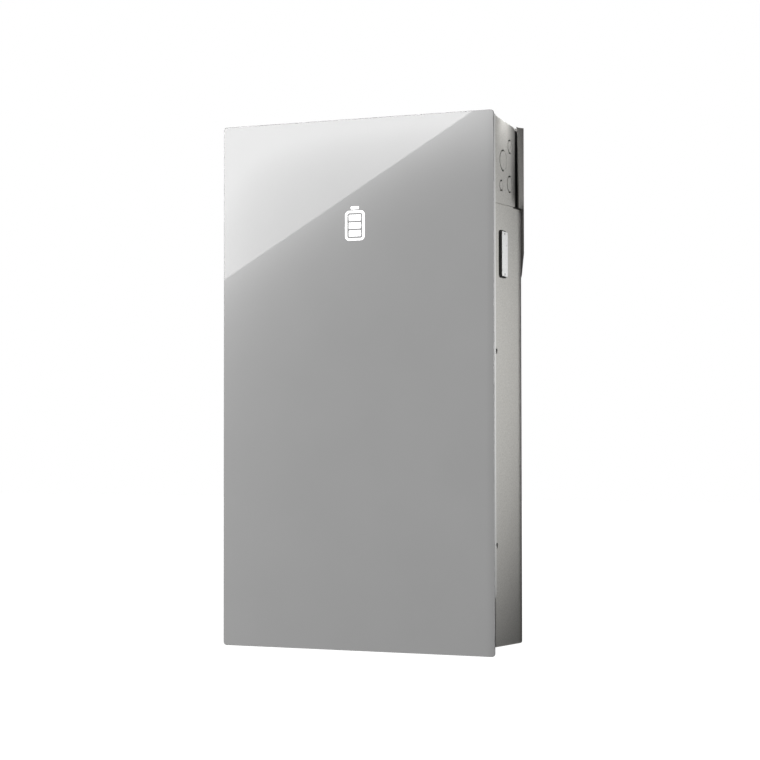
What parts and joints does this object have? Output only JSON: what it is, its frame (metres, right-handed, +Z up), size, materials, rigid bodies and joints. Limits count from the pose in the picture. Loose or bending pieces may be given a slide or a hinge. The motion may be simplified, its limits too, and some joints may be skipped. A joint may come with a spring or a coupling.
{
  "type": "wall battery unit",
  "caption": "Slim wall-hung battery cabinet with a built-in inverter, glossy glass front cover, side power switch, conduit knockouts, wiring compartment and a wall bracket.",
  "frame": {"origin": "centre of the wall bracket's four screw holes, on the wall's plane", "axes": "+Z up, +Y into the wall, so the glass front faces -Y and the power switch is on the +X side"},
  "size_m": [0.6119, 0.193, 1.105],
  "materials": {
    "glass_grey": "back-painted glossy glass",
    "warm_grey_coat": "satin fine-grained powder coat",
    "bracket_coat": "satin powder coat",
    "lid_coat": "satin powder coat on aluminium",
    "frame_plastic": "moulded",
    "light_rail": "satin anodised",
    "clip_plastic": "moulded",
    "symbol_light": "lit diffuser",
    "board_green": "solder mask",
    "board_dark": "dark solder mask",
    "black_rubber": "matt",
    "zinc_steel": "zinc plated",
    "galvanised_sheet": "galvanised",
    "sink_black": "black anodised",
    "fan_black": "moulded",
    "switch_black": "moulded",
    "switch_dark": "moulded",
    "switch_light": "semi-gloss",
    "cell_film": "blue insulating film over an aluminium can",
    "plain_aluminium": "milled",
    "pad_grey": "soft gap filler",
    "copper_bar": "bright copper",
    "brass_bar": "drawn brass",
    "black_plastic": "moulded",
    "grey_plastic": "moulded",
    "orange_plastic": "moulded",
    "ceramic_white": "glazed ceramic",
    "winding": "enamelled copper winding"
  },
  "bodies": {
    "cabinet": {"battery_enclosure": "warm_grey_coat", "battery_lid": "lid_coat", "lid_gaskets": "black_rubber", "lid_screws": "zinc_steel", "inverter_enclosure": "warm_grey_coat", "bulkhead": "galvanised_sheet", "inverter_lid": "lid_coat", "stud_grommets": "black_rubber", "joining_strips": "warm_grey_coat", "air_guides": "black_plastic", "riser_seal": "black_rubber", "hanger_rail": "galvanised_sheet", "wall_bracket": "bracket_coat", "rear_spacers": "black_rubber", "pressure_vent": "black_plastic", "heat_sink": "sink_black", "fan_tray": "galvanised_sheet", "fan_housings": "fan_black", "switch_bezel": "switch_black", "switch_pin": "zinc_steel", "switch_module": "grey_plastic", "cells_left": "cell_film", "cells_middle": "cell_film", "cells_right": "cell_film", "cell_end_plates": "plain_aluminium", "cell_straps": "zinc_steel", "busbars": "copper_bar", "cell_monitor_boards": "board_green", "thermal_pads": "pad_grey", "cooling_plate": "plain_aluminium", "electronics_tray": "galvanised_sheet", "battery_controller": "board_green", "contactors": "black_plastic", "main_fuse": "ceramic_white", "choke_coils": "winding", "power_board": "board_dark", "power_modules": "black_plastic", "filter_parts": "black_plastic", "relays": "black_plastic", "control_board": "board_green", "ac_terminal_block": "grey_plastic", "terminal_screws": "zinc_steel", "solar_terminals": "orange_plastic", "ground_bar": "brass_bar", "comms_board": "board_green"},
    "front_cover": {"glass_panel": "glass_grey", "cover_frame": "frame_plastic", "cover_edge_rails": "light_rail", "cover_clips": "clip_plastic", "cover_studs": "grey_plastic", "status_symbol": "symbol_light", "status_light_board": "board_dark"},
    "wiring_cover": {"wiring_cover": "lid_coat", "wiring_seal": "black_rubber", "wiring_cover_screws": "zinc_steel"},
    "switch_rocker": {"switch_rocker": "switch_dark", "switch_face": "switch_light"},
    "fan_left": {"fan_rotor_left": "fan_black"},
    "fan_middle": {"fan_rotor_middle": "fan_black"},
    "fan_right": {"fan_rotor_right": "fan_black"}
  },
  "joints": [
    {"name": "front_cover_pull", "type": "slide", "parent": "cabinet", "child": "front_cover", "axis": [0, -1, 0], "range_m": [0, 0.2]},
    {"name": "wiring_cover_pull", "type": "slide", "parent": "cabinet", "child": "wiring_cover", "axis": [0, -1, 0], "range_m": [0, 0.1]},
    {"name": "switch_rock", "type": "hinge", "parent": "cabinet", "child": "switch_rocker", "pos_m": [0.298, -0.1315, -0.1391], "axis": [0, 1, 0], "range_deg": [-4, 4], "stiffness_Nm_per_rad": 1.5},
    {"name": "fan_left_spin", "type": "hinge", "parent": "cabinet", "child": "fan_left", "pos_m": [-0.15, -0.0235, -0.019], "axis": [0, 0, 1], "continuous": true},
    {"name": "fan_middle_spin", "type": "hinge", "parent": "cabinet", "child": "fan_middle", "pos_m": [0, -0.0235, -0.019], "axis": [0, 0, 1], "continuous": true},
    {"name": "fan_right_spin", "type": "hinge", "parent": "cabinet", "child": "fan_right", "pos_m": [0.15, -0.0235, -0.019], "axis": [0, 0, 1], "continuous": true}
  ],
  "couplings": [
    {"joint": "wiring_cover_pull", "follows": "front_cover_pull", "ratio": 0.5}
  ]
}
